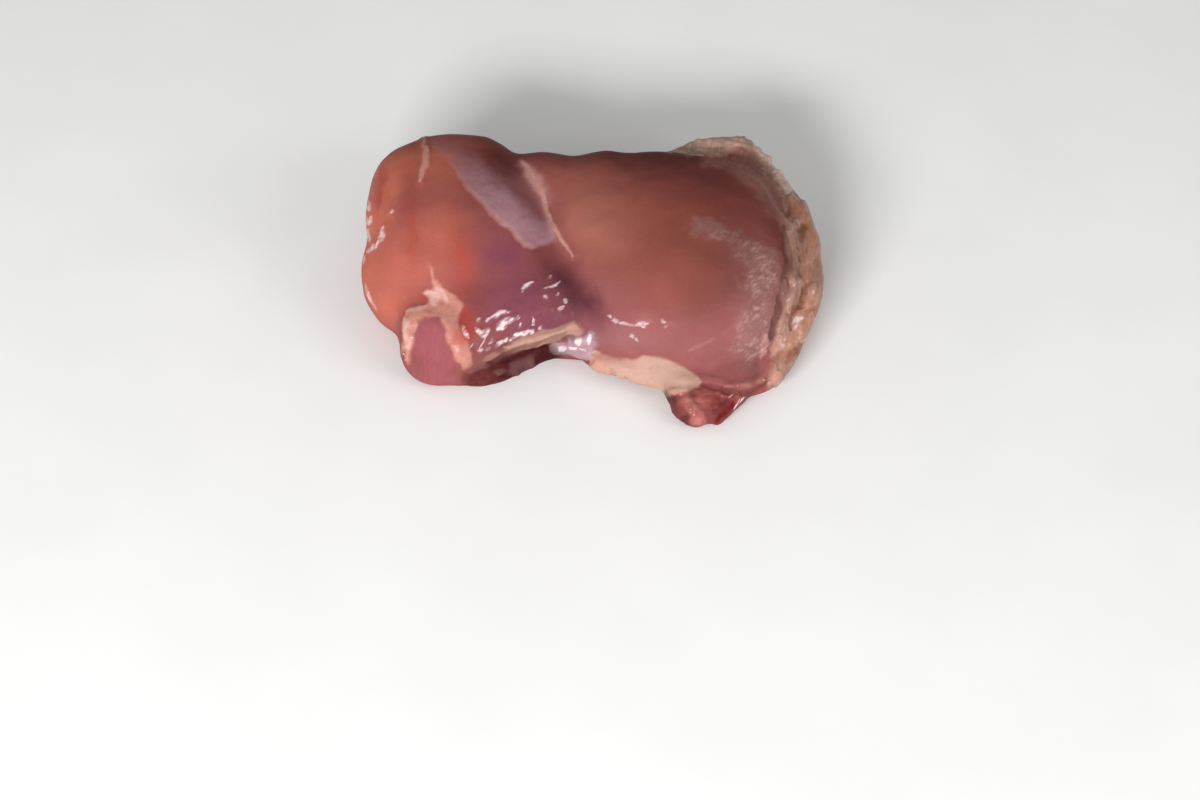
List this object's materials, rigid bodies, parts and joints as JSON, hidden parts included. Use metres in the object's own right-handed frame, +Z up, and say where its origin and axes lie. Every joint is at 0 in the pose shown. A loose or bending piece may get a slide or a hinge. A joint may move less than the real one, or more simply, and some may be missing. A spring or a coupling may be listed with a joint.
{
  "type": "raw chicken thigh",
  "caption": "Raw boneless chicken thigh, folded smooth side up, with muscle mounds, a ragged fat rim and a tucked flap tip.",
  "frame": {"origin": "on the table, at the centre of the thigh's bounding box from above", "axes": "+X along the thigh's length to its wide end with the fat rim, +Y to the back, away from the tucked tip, +Z up from the table"},
  "size_m": [0.1096, 0.0814, 0.0312],
  "materials": {
    "raw_flesh": "wet raw meat, soft and glossy"
  },
  "bodies": {
    "root": {"chicken_thigh": "raw_flesh"}
  },
  "joints": []
}
